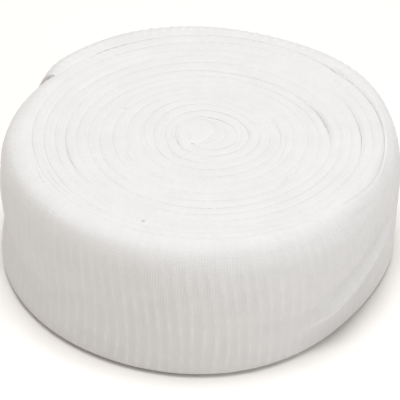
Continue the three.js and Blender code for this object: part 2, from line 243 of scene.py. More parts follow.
# The studio: place and size in metres, and colour
KEY_LIGHT = {"place": (-0.05, -0.1, 2.4), "size": 1.3, "color": (0.97, 0.985, 1.0)}
FILL_LIGHT = {"place": (1.1, -0.5, 0.5), "size": 0.8, "color": (0.86, 0.93, 1.0)}
SKY_COLOR = (1, 0.935, 0.88, 1)
FLOOR_REACH = 4.0
SENSOR_WIDTH = 36  # mm
SEEN_TO = 20  # the camera sees this far, metres


def mix(a, b, t):
    """a + (b - a) t."""
    return a + (b - a) * t


def ramp(x, low, high):
    """From 0 at low to 1 at high, level at both ends: t squared times (3 - 2 t)."""
    t = np.clip((x - low) / (high - low), 0, 1)
    return t * t * (3 - 2 * t)


def bell(x, middle, spread):
    """A bump of height 1: e to the power of minus the square of (x - middle) / spread."""
    return np.exp(-(((x - middle) / spread) ** 2))


def turned(angle, other):
    """Smallest turn from an angle's direction to another one, with its sign."""
    return (angle - other + 180) % 360 - 180


def smooth_line(rows):
    """A smooth curve through rows of (place, value): a cubic between each two, sloped by the neighbours."""
    at, value = np.array(rows, float).T
    slope = np.gradient(value, at)
    slope[1:-1] = (value[2:] - value[:-2]) / (at[2:] - at[:-2])

    def line(x):
        i = np.clip(np.searchsorted(at, x, side="right") - 1, 0, len(at) - 2)
        span = at[i + 1] - at[i]
        t = np.clip((x - at[i]) / span, 0, 1)
        bend = (t - 1) ** 2 * t * slope[i] * span + (t - 1) * t**2 * slope[i + 1] * span
        return mix(value[i], value[i + 1], t * t * (3 - 2 * t)) + bend

    return line


def wander(x, period, seed, count=6):
    """An uneven wave, mostly between -1 and 1: sines with periods round the given one, added up and divided
    by the square root of their number."""
    random = np.random.default_rng(seed)
    periods = period * random.uniform(0.55, 1.8, count)
    starts = random.uniform(0, 2 * np.pi, count)
    waves = [np.sin(2 * np.pi * x / p + start) for p, start in zip(periods, starts)]
    return sum(waves) / math.sqrt(count)


def uneven(x, plain, size, period, seed):
    """A plain value plus size times an uneven wave."""
    return plain + size * wander(x, period, seed)


class Winding:
    """The wound tube as formulas of the angle along the winding and the height, in mm and degrees."""

    def __init__(self, sizes):
        for name in sizes.bl_rna.properties.keys():
            prop = sizes.bl_rna.properties[name]
            if prop.type == "FLOAT":
                value = getattr(sizes, name)
                setattr(self, name, value / MM if prop.subtype == "DISTANCE" else value)
        rows = [
            (FIRST_ROW_ANGLE + 360 * turn + direction, radius)
            for turn, row in enumerate(GROOVES)
            for direction, radius in zip(DIRECTIONS, row)
        ]
        self.groove = smooth_line([*FIRST_EDGE, *rows, *LAST_EDGE])
        self.outline = smooth_line(OUTLINE)
        around = [(at + turn, radius) for turn in (-360, 0, 360) for at, radius in PAD]
        self.pad_line = smooth_line(around)
        self.shoulder = self.height - self.rim_down

    def pad(self, angle):
        """Radius of the folded pad in the middle, in a direction."""
        return self.pad_line(np.mod(angle, 360))

    def outside(self, angle):
        """Angle of the turn that shows outside in the same direction."""
        return np.where(angle >= BARE_ANGLE, angle, BARE_ANGLE + np.mod(angle - BARE_ANGLE, 360))

    def sag(self, angle):
        """How far the turns sag below the full height: the sum of size times (1 + sine), level at the
        start of the winding."""
        share = ramp(angle, START_ANGLE, START_ANGLE + SAG_FADE)
        waves = [1 + share * np.sin(np.radians(rate * angle + start)) for _, rate, start in SAGS]
        return sum(row[0] * wave for row, wave in zip(SAGS, waves))

    def tuck(self, angle):
        """Drawing in of the foot, as a share of the radius."""
        return TUCK["plain"] + TUCK["most"] * bell(turned(angle, TUCK["direction"]), 0, TUCK["spread"])

    def crease(self, angle):
        """Height of the crease in the lower right wall, and how marked it is, from 0 to 1."""
        at = self.outside(angle)
        height = mix(*CREASE["heights"], ramp(at, *CREASE["rises"]))
        return height, ramp(at, *CREASE["opens"]) * (1 - ramp(at, *CREASE["ends"]))

    def fall(self, angle, z):
        """From 0 above to 1 at the drawn-in foot, and sharper where the crease is."""
        crease, share = self.crease(angle)
        low = mix(self.foot_up, crease - CREASE["drawn_in"], share)
        return 1 - ramp(z, low, mix(self.shoulder, crease, share))

    def skin(self, angle, z):
        """Radius of the outside: the outline, less the tuck, waist, crease, rounded rim and rounded foot."""
        up = np.clip((z - self.shoulder) / (self.rim_down - self.sag(angle)), 0, 1)
        down = np.clip((self.foot_up - z) / self.foot_up, 0, 1)
        power = self.rim_power(angle)
        rounding = self.rim_in * (1 - (1 - up**power) ** (1 / power))
        rounding = rounding + self.foot_in * (1 - np.sqrt(1 - down**2))
        crease, share = self.crease(angle)
        fold = share * sum(depth * bell(z, crease + over, reach) for over, reach, depth in CREASE_FOLDS)
        fold = fold + self.bands(angle, z)
        waist = WAIST["depth"] * bell(z, WAIST["height"], WAIST["reach"])
        waist = waist * bell(turned(angle, WAIST["direction"]), 0, WAIST["spread"])
        return self.outline(angle) * (1 - self.tuck(angle) * self.fall(angle, z)) - waist - fold - rounding

    def rim_power(self, angle):
        """Power of the curve that rounds the rim: 2 is a quarter of an ellipse, and more is squarer."""
        square = RIM_POWER["more"] * bell(turned(angle, RIM_POWER["direction"]), 0, RIM_POWER["spread"])
        return RIM_POWER["plain"] + square

    def bands(self, angle, z):
        """Shallow hollows that run round the wall, where the net was pressed: bells of the height, which
        wander up and down, and come and go."""
        fade = uneven(angle, plain=0.8, size=0.6, period=90, seed=31)
        swayed = z + BAND_SWAY * wander(angle, period=70, seed=32)
        return sum(depth * bell(swayed, up, reach) for up, reach, depth in BANDS) * fade

    def wall(self, angle, z):
        """Radius of the outer side of any turn. It stands straight below its groove deep in the roll, and
        takes on the shape of the outside towards the last turns."""
        at = self.outside(angle)
        narrow = 1 - self.tuck(angle) * self.fall(angle, z)
        swell = np.maximum(self.skin(at, z) - self.groove(at) * narrow, 0)
        share = np.clip((angle - SWELL_ANGLE) / (BARE_ANGLE - SWELL_ANGLE), 0, 1) ** SWELL_POWER
        return self.groove(angle) * narrow + share * swell

    def rim(self, angle, radius):
        """Height of the crests at a radius: the full height less the sag, falling along the rounded rim."""
        inset = np.clip(1 - (self.outline(self.outside(angle)) - radius) / self.rim_in, 0, 1)
        power = self.rim_power(angle)
        return self.shoulder + (self.rim_down - self.sag(angle)) * (1 - inset**power) ** (1 / power)

    def foot(self, angle, radius):
        """Height of the lower folds at a radius, inside the rounded foot."""
        wall = self.outline(self.outside(angle)) * (1 - self.tuck(angle))
        inset = np.clip(1 - (wall - radius) / self.foot_in, 0, 1)
        return self.foot_up * (1 - np.sqrt(1 - inset**2))

    def gape(self, angle):
        """More width and more depth of the groove where the turns lie apart."""
        at = [FIRST_ROW_ANGLE + 360 * turn + direction for turn, direction, *_ in GAPES]
        marks = [bell(angle, middle, row[2]) for middle, row in zip(at, GAPES)]
        return (
            sum(mark * row[3] for mark, row in zip(marks, GAPES)),
            sum(mark * row[4] for mark, row in zip(marks, GAPES)),
        )

    def slit(self, angle):
        """Width of the slit between two turns: nearly closed, and uneven along the winding."""
        return self.slit_width * uneven(angle, plain=1, size=0.6, period=70, seed=3) + self.gape(angle)[0]

    def covered(self, angle):
        """1 while another turn lies outside, and down to 0 where the turn comes into the open."""
        return 1 - ramp(angle, BARE_ANGLE, BARE_ANGLE + BARE_FADE)

    def groove_depth(self, angle):
        """Depth of the groove, deeper at the two sides, and fading where the turn comes into the open."""
        side = np.cos(np.radians(angle - GROOVE_DIRECTION)) ** 2
        marked = np.clip(uneven(angle, plain=0.8, size=0.7, period=75, seed=4), 0.1, 2)
        depth = mix(self.groove_shallow, self.groove_deep, side) * marked
        return (depth + self.gape(angle)[1]) * self.covered(angle)

    def stand(self, angle):
        """How far the loose end stands off the roll."""
        return self.stand_off * ramp(angle, *PEEL)

    def length(self, angle):
        """Length of cloth up to an angle, half way up, from its start: the sum of radius times angle."""
        grid = np.arange(START_ANGLE, CUT_ANGLE + 1.0)
        radius = self.wall(grid, self.height / 2)
        steps = np.radians(1) * (radius[1:] + radius[:-1]) / 2
        return np.interp(angle, grid, np.concatenate([[0], np.cumsum(steps)]))


def inner_edge(winding, angle):
    """Radius of the inner side of the top fold: the groove one turn before, or the pad for the first turn,
    and half the slit. The loose end stands off further."""
    before = np.where(angle < PAD_ANGLE, winding.pad(angle), winding.groove(angle - 360))
    edge = before + winding.stand(angle)
    return edge + winding.slit(angle - 360) / 2


def outer_edge(winding, angle):
    """Radius of the outer side of the top fold: the groove, less half the slit while a turn covers it."""
    return winding.groove(angle) - winding.slit(angle) / 2 * winding.covered(angle)


def fold_rows(middle, edge, width, counts):
    """Rows from the middle of a fold to its edge: level, then down by a power of the way to the edge. Gives
    their radius, and how far down each is, from 0 to 1."""
    side = np.sign(edge - middle)
    level = np.linspace(0, 1, counts[0], endpoint=False)
    share = np.linspace(0, 1, counts[1])
    flat = mix(middle, edge - side * width, level)
    round_part = edge - side * width * (1 - share)
    down = np.concatenate([0 * level, share**FOLD_POWER])
    return np.hstack([flat, round_part]), np.broadcast_to(down, (len(middle), len(down)))


def wall_heights(winding, start, end, counts):
    """Heights down a wall, in even steps of the angle round the rim and the foot, and of height between."""
    rim, plain, foot = counts
    first = np.arcsin(np.clip((start - winding.shoulder) / winding.rim_down, 0, 1))
    last = np.arcsin(np.clip((winding.foot_up - end) / winding.foot_up, 0, 1))
    down = 1 - np.arange(1, rim + 1) / rim
    top_part = mix(winding.shoulder, start, np.sin(first * down) / np.sin(first))
    middle = np.linspace(winding.shoulder, winding.foot_up, plain + 1)[1:] + 0 * start
    foot_part = winding.foot_up * (1 - np.sin(last * np.arange(1, foot + 1) / foot))
    return np.hstack([top_part, middle, foot_part])


def side_rows(winding, angle, outer, counts):
    """Radius and height of the rows down one side of the tube's section, from the middle of the top fold
    over its shoulder, down the wall and round the lower fold to its middle."""
    a, b = inner_edge(winding, angle), outer_edge(winding, angle)
    thick = np.maximum(b - a, THINNEST["top"])
    edge = b if outer else a
    depth = winding.groove_depth(angle if outer else angle - 360)
    if not outer:
        depth = np.maximum(depth, FREE_FOLD_DEPTH * ramp(angle, *PEEL))
        depth = np.where(angle < PAD_ANGLE, PAD_DEPTH, depth)
    depth = np.minimum(depth, DEEPEST_SHARE * thick)
    width = np.minimum(winding.shoulder_width, WIDEST_SHARE * thick)
    radius, down = fold_rows(a + thick / 2, edge, width, counts["top"])
    across = (radius - a) / thick
    crown = winding.puff * (1 - (across * 2 - 1) ** 2)
    top = winding.rim(angle, radius) + crown - furrow(winding, angle, across, thick) - depth * down

    low = FOOT_LEVEL + 0 * angle
    a_low = inner_wall(winding, angle, low, a)
    b_low = np.maximum(outer_wall(winding, angle, low), a_low + THINNEST["foot"])
    groove = winding.foot_groove * (winding.covered(angle) if outer else 1)
    width = np.minimum(winding.shoulder_width, WIDEST_SHARE * (b_low - a_low))
    foot_radius, up = fold_rows((a_low + b_low) / 2, b_low if outer else a_low, width, counts["foot"])
    foot = winding.foot(angle, foot_radius) + groove * up

    heights = wall_heights(winding, top[:, -1:], foot[:, -1:], counts["wall"])
    wall = outer_wall(winding, angle, heights) if outer else inner_wall(winding, angle, heights, a)
    return (
        np.hstack([radius, wall, foot_radius[:, -2::-1]]),
        np.hstack([top, heights, foot[:, -2::-1]]),
    )


def outer_wall(winding, angle, z):
    """Radius of the outer side, half a slit inside the next turn."""
    covered = 1 - ramp(angle, BARE_ANGLE - BARE_WALL_FADE, BARE_ANGLE)
    return winding.wall(angle, z) - winding.slit(angle) / 2 * covered


def inner_wall(winding, angle, z, edge):
    """Radius of the inner side: the turn before or the pad, and never inside the top fold's edge above."""
    before = winding.wall(angle - 360, z) + winding.slit(angle - 360) / 2 + winding.stand(angle)
    before = np.maximum(before, edge * ramp(z, *EDGE_HANG))
    return np.where(angle < PAD_ANGLE, winding.pad(angle) + 0 * z, before)


def furrow(winding, angle, share, thick):
    """A soft second line along some of the folds: a bell across the fold, which wanders over it, comes and
    goes, and is deepest at the two sides."""
    middle = uneven(angle, plain=0.5, size=0.22, period=160, seed=11)
    marked = np.clip(uneven(angle, plain=0.35, size=0.9, period=55, seed=12), 0, 1)
    side = mix(FURROW["least"], 1, np.cos(np.radians(angle - GROOVE_DIRECTION)) ** 4)
    return winding.furrow_depth * marked * side * bell((share - middle) * thick, 0, FURROW["reach"])


def tube_surface(winding, angles, counts):
    """The tube's skin as a grid: a row for each angle and a column for each point round the section, from
    the middle of the lower fold up the outer side, over the top and down the inner side."""
    angle = angles[:, None]
    out_r, out_z = side_rows(winding, angle, True, counts)
    in_r, in_z = side_rows(winding, angle, False, counts)
    radius = np.hstack([out_r[:, ::-1], in_r[:, 1:-1]])
    height = np.hstack([out_z[:, ::-1], in_z[:, 1:-1]])
    forward = CUT_SLANT["forward"] * (1 - ramp(height, *CUT_SLANT["heights"]))
    at = np.radians(angle + forward * ramp(angle, PART_ANGLE, CUT_ANGLE))
    return np.stack([radius * np.cos(at), radius * np.sin(at), height], axis=-1)


def line_depth(x, y):
    """Depth of the lines in the top face: a bell across each line times a bell along it."""
    total = 0 * x
    for centre, rows in (((0, 0), LINES), (CORE_MIDDLE, CORE_LINES)):
        radius = np.hypot(x - centre[0], y - centre[1])
        direction = np.degrees(np.arctan2(y - centre[1], x - centre[0]))
        for middle, spread, at, growth, reach, depth in rows:
            along = turned(direction, middle)
            total = total + depth * bell(along, 0, spread) * bell(radius - growth * along, at, reach)
    return total


def normals(points):
    """Outward direction at each point of a tube's grid: the step along it crossed with the step round it."""
    along = np.gradient(points, axis=0)
    around = np.roll(points, -1, axis=1) - np.roll(points, 1, axis=1)
    normal = np.cross(along, around)
    return normal / np.maximum(np.linalg.norm(normal, axis=-1, keepdims=True), 1e-9)


def rib_wave(winding, run, z):
    """The net's cross ribs, from 0 to 1: a cosine of the length of cloth, sharpened by a power. They lean
    below the rim and come back towards the foot, and their spacing is uneven."""
    down = np.clip((winding.height - RIB_BEND["below_rim"] - z) / winding.height, 0, 1)
    lean = winding.rib_lean * np.sin(RIB_BEND["half_turns"] * np.pi * down)
    shift = sum(share * wander(run + slant * z, period, seed) for share, slant, period, seed in RIB_SHIFTS)
    phase = (run - lean) / winding.rib_pitch + shift
    return (0.5 + 0.5 * np.cos(2 * np.pi * phase)) ** RIB_POWER


def texture_height(winding, angle, points, bare):
    """Share of the ribs at each point, and their height over the skin: full on the bare side where they
    show most, and low on the top folds inside the roll, on the front shoulder and along the crease."""
    run = winding.length(angle)
    z = points[..., 2]
    wave = rib_wave(winding, run, z)
    patches = wander(run + 2 * z, period=30, seed=23)
    streaks = wander(4 * z + 0.5 * run, period=18, seed=24)
    amount = RIB_AMOUNT["plain"] + RIB_AMOUNT["patches"] * patches + RIB_AMOUNT["streaks"] * streaks
    amount = np.clip(amount, 0, RIB_AMOUNT["most"])
    sides = [share * bell(turned(angle, at), 0, spread) for at, spread, share in RIBS["sides"]]
    amount = amount * (RIBS["plain"] + sum(sides))
    crease, share = winding.crease(angle)
    reach, loss = RIBS["off_crease"]
    amount = amount * (1 - loss * share * bell(z, crease, reach))
    front, spread, loss = RIBS["front"]
    outside = bare * (1 - loss * bell(turned(angle, front), 0, spread) * ramp(z, *RIBS["shoulder"]))
    on_top = ramp(z, *(winding.height - depth for depth in RIBS["top"]))
    shown = np.maximum(PICOT_SHARE * on_top, outside) * ramp(z, *RIBS["foot"]) * amount
    return wave * shown, winding.rib_height * shown * (wave - RIBS["below"])


def no_side(angle, skin):
    """0 all over, because both sides of the inner turns lie between turns."""
    return 0 * skin[..., 2]


def open_side(angle, skin):
    """1 on the outer side of the roll and on both sides of the loose end, and 0 between the turns."""
    columns = skin.shape[1]
    outer = np.arange(columns) < columns // 2
    bare = ramp(angle, BARE_ANGLE, BARE_ANGLE + BARE_RIB_FADE)
    return np.where(outer, bare, ramp(angle, FREE_SIDE_ANGLE, CUT_ANGLE))


class Shells:
    """Closed shells that are gathered into one mesh."""

    def __init__(self):
        self.points, self.faces, self.marks, self.waves = [], [], [], []
        self.count = 0

    def add(self, points, faces, marks, wave):
        """faces are corner numbers, and marks the cloth's length and width at each corner, mm."""
        self.points.append(points.reshape(-1, 3))
        self.waves.append(np.broadcast_to(wave, points.shape[:-1]).reshape(-1))
        self.faces += [face + self.count for face in faces]
        self.marks += marks
        self.count += points.reshape(-1, 3).shape[0]

    def mesh(self, name):
        """Fills a mesh with all shells, in metres, about the middle of the part."""
        points = np.concatenate(self.points) + np.array([*AXIS, 0])
        points[:, 2] = np.maximum(points[:, 2], 0)
        corners = np.concatenate([face.reshape(-1) for face in self.faces])
        totals = np.concatenate([np.full(len(face), face.shape[1]) for face in self.faces])
        mesh = bpy.data.meshes.new(name)
        mesh.vertices.add(len(points))
        mesh.vertices.foreach_set("co", (points * MM).ravel())
        mesh.loops.add(len(corners))
        mesh.loops.foreach_set("vertex_index", corners.astype(np.int32))
        mesh.polygons.add(len(totals))
        mesh.polygons.foreach_set("loop_start", (np.cumsum(totals) - totals).astype(np.int32))
        marks = np.concatenate([mark.reshape(-1, 2) for mark in self.marks])
        mesh.uv_layers.new(name="cloth").uv.foreach_set("vector", (marks * MM).ravel())
        wave = mesh.attributes.new("rib", "FLOAT", "POINT")
        wave.data.foreach_set("value", np.concatenate(self.waves))
        mesh.update(calc_edges=True)
        mesh.validate()
        mesh.shade_smooth()
        mesh.set_sharp_from_angle(angle=SHARP)
        return mesh


def add_tube(shells, winding, angles, counts, bare_share, cut=False):
    """Adds a stretch of the tube: its grid, and a cap across each end. A cut end has its two layers of net
    with a slit between them: the section shrinks towards its middle line, and that goes back inside."""
    skin = tube_surface(winding, angles, counts)
    angle = angles[:, None]
    bare = bare_share(angle, skin)
    wave, rise = texture_height(winding, angle, skin, bare)
    outward = normals(skin)
    inner_top = ramp(skin[..., 2], *TOP_LINES) * (1 - bare)
    points = skin + mix(outward, np.array([0, 0, 1]), inner_top[..., None]) * rise[..., None]
    points[..., 2] -= line_depth(points[..., 0], points[..., 1]) * ramp(points[..., 2], *TOP_LINES)
    run = winding.length(angle) + 0 * points[..., 0]
    columns = points.shape[1]
    half = columns // 2
    if cut:
        points, run, wave = add_cut(points, run, wave, half)
    closed = np.concatenate([points, points[:, :1]], axis=1)
    steps = np.linalg.norm(np.diff(closed, axis=1), axis=-1)
    width = np.concatenate([0 * steps[:, :1], np.cumsum(steps, axis=1)], axis=1)
    width = width - width[:, half : half + 1]
    marks = np.stack([np.concatenate([run, run[:, :1]], axis=1), width], axis=-1)

    rows = len(points)
    corner = grid_corners(rows - 1, columns)
    faces = [np.stack([a * columns + b % columns for a, b in corner], axis=1)]
    maps = [np.stack([marks[a, b] for a, b in corner], axis=1)]
    for row, order in ((0, 1), (rows - 1, -1)):
        for cap in cap_faces(half, columns):
            faces.append((row * columns + cap % columns)[:, ::order])
            maps.append(marks[row, cap][:, ::order])
    shells.add(points, faces, maps, wave)


def grid_corners(rows, columns):
    """Row and column of the four corners of every face of a grid."""
    i, j = (index.ravel() for index in np.meshgrid(np.arange(rows), np.arange(columns), indexing="ij"))
    return (i, j), (i + 1, j), (i + 1, j + 1), (i, j + 1)


def cap_faces(half, columns):
    """Faces across a section: quads between its two sides, and a triangle at each fold."""
    c = np.arange(1, half - 1)
    between = np.stack([c, c + 1, columns - c - 1, columns - c], axis=1)
    ends = np.array([[0, 1, columns - 1], [half - 1, half, half + 1]])
    return between, ends


def add_cut(points, run, wave, half):
    """Two more rows at the cut: the section drawn in to the slit between its layers, and the same further
    back along the tube. Both get a rib crest's tone: painted light that lifts the cut face out of its shade."""
    last = points[-1]
    across = np.concatenate([last[:1], last[:0:-1]])
    middle = (last + across) / 2
    top, low = middle[:, 2].max() - CUT_LAYER, middle[:, 2].min() + CUT_LAYER
    middle[:, 2] = np.clip(middle[:, 2], low, top)
    inside = mix(middle, last, CUT_SHARE)
    turn = np.array(Matrix.Rotation(math.radians(-CUT_DEPTH), 3, "Z"))
    rows = np.stack([inside, inside @ turn.T])
    return (
        np.concatenate([points, rows]),
        np.concatenate([run, run[-1:], run[-1:]]),
        # painted light: the lightest rib tone on the two cut rows, so the cut face shows lighter than its
        # shade
        np.concatenate([wave, np.ones_like(wave[-2:])]),
    )


def add_pad(shells, winding, counts):
    """Adds the folded pad in the middle: rings about its own middle, flat-topped with a round edge, from
    the underside out, up its wall, and in again on top."""
    angles = np.linspace(0, 360, counts["around"], endpoint=False)[:, None]
    middle = np.array(PAD_MIDDLE)
    at = np.radians(angles)
    edge = np.hstack([np.cos(at), np.sin(at)]) * (winding.pad(angles) - winding.slit_width)
    reach = np.linalg.norm(edge - middle, axis=1, keepdims=True)
    width = np.minimum(PAD_SHOULDER / reach, PAD_WIDEST_SHARE)
    bend = np.radians(np.linspace(0, 90, counts["shoulder"]))
    level = np.linspace(0, 1, counts["crest"] + 1)[1:-1]
    share = np.hstack([level * (1 - width), 1 - width * (1 - np.sin(bend))])
    down = np.concatenate([0 * level, 1 - np.cos(bend)])
    place = middle + share[..., None] * (edge - middle)[:, None, :]
    top = pad_height(winding, place[..., 0], place[..., 1]) - PAD_DEPTH * down
    top = top - line_depth(place[..., 0], place[..., 1])
    foot = winding.foot_groove * down + 0 * top
    rings = np.concatenate([place, place[:, ::-1]], axis=1)
    z = np.concatenate([foot, top[:, ::-1]], axis=1)
    points = np.concatenate([rings, z[..., None]], axis=-1)

    rows, columns = points.shape[:2]
    grid = np.stack([a % rows * columns + b for a, b in grid_corners(rows, columns - 1)], axis=1)
    ring = np.arange(rows) * columns
    after = np.roll(ring, -1)
    low_pole = 0 * ring + rows * columns
    under = np.stack([low_pole, after, ring], axis=1)
    over = np.stack([ring + columns - 1, after + columns - 1, low_pole + 1], axis=1)
    poles = [[*middle, 0], [*middle, pad_height(winding, *middle)]]
    points = np.concatenate([points.reshape(-1, 3), poles])
    faces = [grid, under, over]
    shells.add(points, faces, [points[face][..., :2] for face in faces], PICOT_SHARE * PAD_RIB_SHARE)


def pad_height(winding, x, y):
    """Height of the pad: a low crown with one soft line across it."""
    c, s = PAD_ALONG
    along = (x - PAD_MIDDLE[0]) * c + (y - PAD_MIDDLE[1]) * s
    across = (y - PAD_MIDDLE[1]) * c - (x - PAD_MIDDLE[0]) * s
    crown = PAD_CROWN["height"] * np.exp(-(along**2 + across**2) / PAD_CROWN["square_of_reach"])
    line = PAD_LINE["depth"] * bell(along + PAD_LINE["bow"] * across**2, *PAD_LINE["along"])
    line = line * bell(across, *PAD_LINE["across"])
    return winding.height - winding.sag(START_ANGLE) - PAD_SINK + crown - line


class Node:
    """Wraps a socket, so that shader maths reads as Python: an expression on values adds Math nodes."""

    def __init__(self, socket):
        self.socket = socket
        self.tree = socket.id_data

    def math(self, operation, *others, clamp=False):
        """Adds a Math node on this value and the others."""
        node = self.tree.nodes.new("ShaderNodeMath")
        node.operation = operation
        node.use_clamp = clamp
        for slot, value in zip(node.inputs, (self, *others)):
            if isinstance(value, Node):
                self.tree.links.new(value.socket, slot)
            else:
                slot.default_value = value
        return Node(node.outputs[0])

    def __add__(self, other):
        return self.math("ADD", other)

    def __sub__(self, other):
        return self.math("SUBTRACT", other)

    def __mul__(self, other):
        return self.math("MULTIPLY", other)

    def __rsub__(self, other):
        return (self * -1.0) + other

    __radd__ = __add__
    __rmul__ = __mul__


class Nodes:
    """A material's node tree, with one method that adds any node."""

    def __init__(self, name):
        self.material = bpy.data.materials.new(name)
        self.material.use_nodes = True
        self.tree = self.material.node_tree
        self.shader = self.tree.nodes["Principled BSDF"]

    def add(self, kind, settings=None, output=0, **values):
        """Adds a node: its settings first, then the values or links of its sockets, named as on the node."""
        node = self.tree.nodes.new(kind)
        for name, value in (settings or {}).items():
            setattr(node, name, value)
        for name, value in values.items():
            self.feed(node, name, value)
        return Node(node.outputs[output])

    def feed(self, node, name, value):
        """Links or sets the first live socket with that name or identifier."""
        slot = next(s for s in node.inputs if s.enabled and name in (s.name, s.identifier))
        if isinstance(value, Node):
            self.tree.links.new(value.socket, slot)
        else:
            slot.default_value = value

    def blend(self, share, a, b):
        """Mixes two colours: a, and b by the share."""
        return self.add("ShaderNodeMix", {"data_type": "RGBA"}, output=2, Factor=share, A=a, B=b)


def net_material(look):
    """Bleached cotton net: fine stitches in rows on the cloth's own map, with ribs, slubs and a soft nap, and
    painted shade towards the foot.
    """
    nodes = Nodes("knitted_net")
    place = nodes.add("ShaderNodeUVMap", {"uv_map": "cloth"})
    in_mm = nodes.add("ShaderNodeVectorMath", {"operation": "SCALE"}, Vector=place, Scale=1 / MM)
    along = nodes.add("ShaderNodeSeparateXYZ", Vector=in_mm)
    across = nodes.add("ShaderNodeSeparateXYZ", output=1, Vector=in_mm)
    slubs = nodes.add("ShaderNodeTexNoise", Vector=in_mm, **SLUBS)
    fine = nodes.add("ShaderNodeTexNoise", Vector=in_mm, **FINE_YARN)
    stretch = nodes.add(
        "ShaderNodeVectorMath", {"operation": "MULTIPLY"}, Vector=in_mm, Vector_001=STRAND_STRETCH
    )
    strands = nodes.add("ShaderNodeTexNoise", Vector=stretch, **STRANDS)
    column = (across * (MM / look.row_pitch) + slubs * STITCH["drift"]).math("FRACT")
    side = (column * 2.0 - 1.0).math("ABSOLUTE")
    loop = along * (MM / look.wale_pitch) + side * STITCH["slant"] + slubs * STITCH["sway"]
    loop = (loop * (2 * math.pi)).math("COSINE")
    gap = side * side * side
    stitches = (loop * 0.5 + 0.5) * (1.0 - gap * STITCH["gap"])
    rib = nodes.add("ShaderNodeAttribute", {"attribute_name": "rib"}, output=2)

    relief = stitches * RELIEF["stitches"] + fine * RELIEF["fine"] + strands * RELIEF["strands"]
    relief = relief * (1.0 - spot_mask(nodes, EASED))
    bump = nodes.add("ShaderNodeBump", Strength=look.relief, Distance=look.relief_depth, Height=relief)
    place = nodes.add("ShaderNodeTexCoord", output=3)
    height = nodes.add("ShaderNodeSeparateXYZ", output=2, Vector=place)
    # painted shade: the colour darkens from a height down towards the floor
    foot = (height * (-1 / (PAINTED_FOOT_SHADE["to"] * MM)) + 1.0).math("MULTIPLY", PAINTED_FOOT_SHADE["depth"], clamp=True)
    patches = nodes.add("ShaderNodeTexNoise", Vector=place, **PATCHES)
    tone = stitches * TONE["stitches"] + fine * TONE["fine"] + strands * TONE["strands"]
    # ribs: partly the net's own tone, partly painted light on their crests and painted shade in the valleys
    # between them
    tone = tone + rib * TONE["ribs"] + patches * TONE["patches"] - foot - TONE["less"]
    spots = spot_mask(nodes, FLECKS)
    cloth = nodes.blend(tone.math("MULTIPLY", 1.0, clamp=True), [*look.shade, 1], [*look.white, 1])
    cloth = nodes.blend(spots, cloth, [*look.fleck, 1])
    nodes.feed(nodes.shader, "Base Color", cloth)
    nodes.feed(nodes.shader, "Roughness", stitches * -DULL["less"] + DULL["most"])
    nodes.feed(nodes.shader, "Normal", bump)
    nodes.feed(nodes.shader, "Specular IOR Level", look.gloss)
    nodes.feed(nodes.shader, "Sheen Weight", look.nap)
    nodes.feed(nodes.shader, "Sheen Roughness", 0.6)
    return nodes.material


def spot_mask(nodes, rows):
    """Soft round spots: twice the strength at each place, at most 1, and 0 past its size."""
    place = nodes.add("ShaderNodeTexCoord", output=3)
    mask = None
    for at, size, strength in rows:
        centre = [(at[0] + AXIS[0]) * MM, (at[1] + AXIS[1]) * MM, at[2] * MM]
        away = nodes.add(
            "ShaderNodeVectorMath", {"operation": "DISTANCE"}, output=1, Vector=place, Vector_001=centre
        )
        spot = (away * (-1 / (size * MM)) + 1.0).math("MULTIPLY", strength * 2, clamp=True)
        mask = spot if mask is None else mask + spot
    return mask.math("MINIMUM", 1.0)


def distance(name, description, default):
    """A length property, in metres."""
    return FloatProperty(
        name=name, description=description, default=default, min=0, precision=5, unit="LENGTH",
        subtype="DISTANCE",
    )


def number(name, description, default, **more):
    """A number that is never negative."""
    return FloatProperty(name=name, description=description, default=default, min=0, **more)


def degrees(name, description, default):
    """An angle property, given in degrees."""
    return FloatProperty(name=name, description=description, default=math.radians(default), subtype="ANGLE")


def colour(name, description, default):
    """A colour property."""
    return FloatVectorProperty(
        name=name, description=description, default=default, size=3, min=0, max=1, subtype="COLOR"
    )


class BandageSizes(bpy.types.PropertyGroup):
    """Sizes of the wound tube."""

    height: distance("Height", "Width of the tube pressed flat: the height of the roll", CAD_BOX[1].z)
    rim_in: distance("Rim in", "How far the top rim is rounded inwards", 0.0085)
    rim_down: distance("Rim down", "How far the top rim is rounded downwards", 0.019)
    foot_in: distance("Foot in", "How far the foot is rounded inwards", 0.0038)
    foot_up: distance("Foot up", "How far the foot is rounded upwards", 0.003)
    groove_shallow: distance("Shallow groove", "Depth of the grooves in front and behind", 0.00008)
    groove_deep: distance("Deep groove", "Depth of the grooves at the two sides", 0.00022)
    foot_groove: distance("Lower groove", "Depth of the grooves underneath", 0.0015)
    slit_width: distance("Slit", "Width of the slit between two turns", 0.00002)
    shoulder_width: distance("Shoulder", "Width of the round edge of a fold", 0.0014)
    puff: distance("Puff", "How far the middle of a fold stands over its edges", 0.00008)
    furrow_depth: distance("Furrow", "Depth of the second lines along the folds", 0.00012)
    stand_off: distance("Stand off", "How far the cut end stands off the roll", 0.0003)
    rib_pitch: distance("Rib pitch", "Spacing of the net's cross ribs", 0.0037)
    rib_height: distance("Rib height", "Height of the ribs on the outside", 0.00036)
    rib_lean: distance("Rib lean", "How far the ribs lean sideways half way down", 0.0036)
    inner_step: distance("Inner step", "Length between two sections of the inner turns", 0.001)
    step: degrees("Step", "Turn between two sections of the outer turn", 0.55)


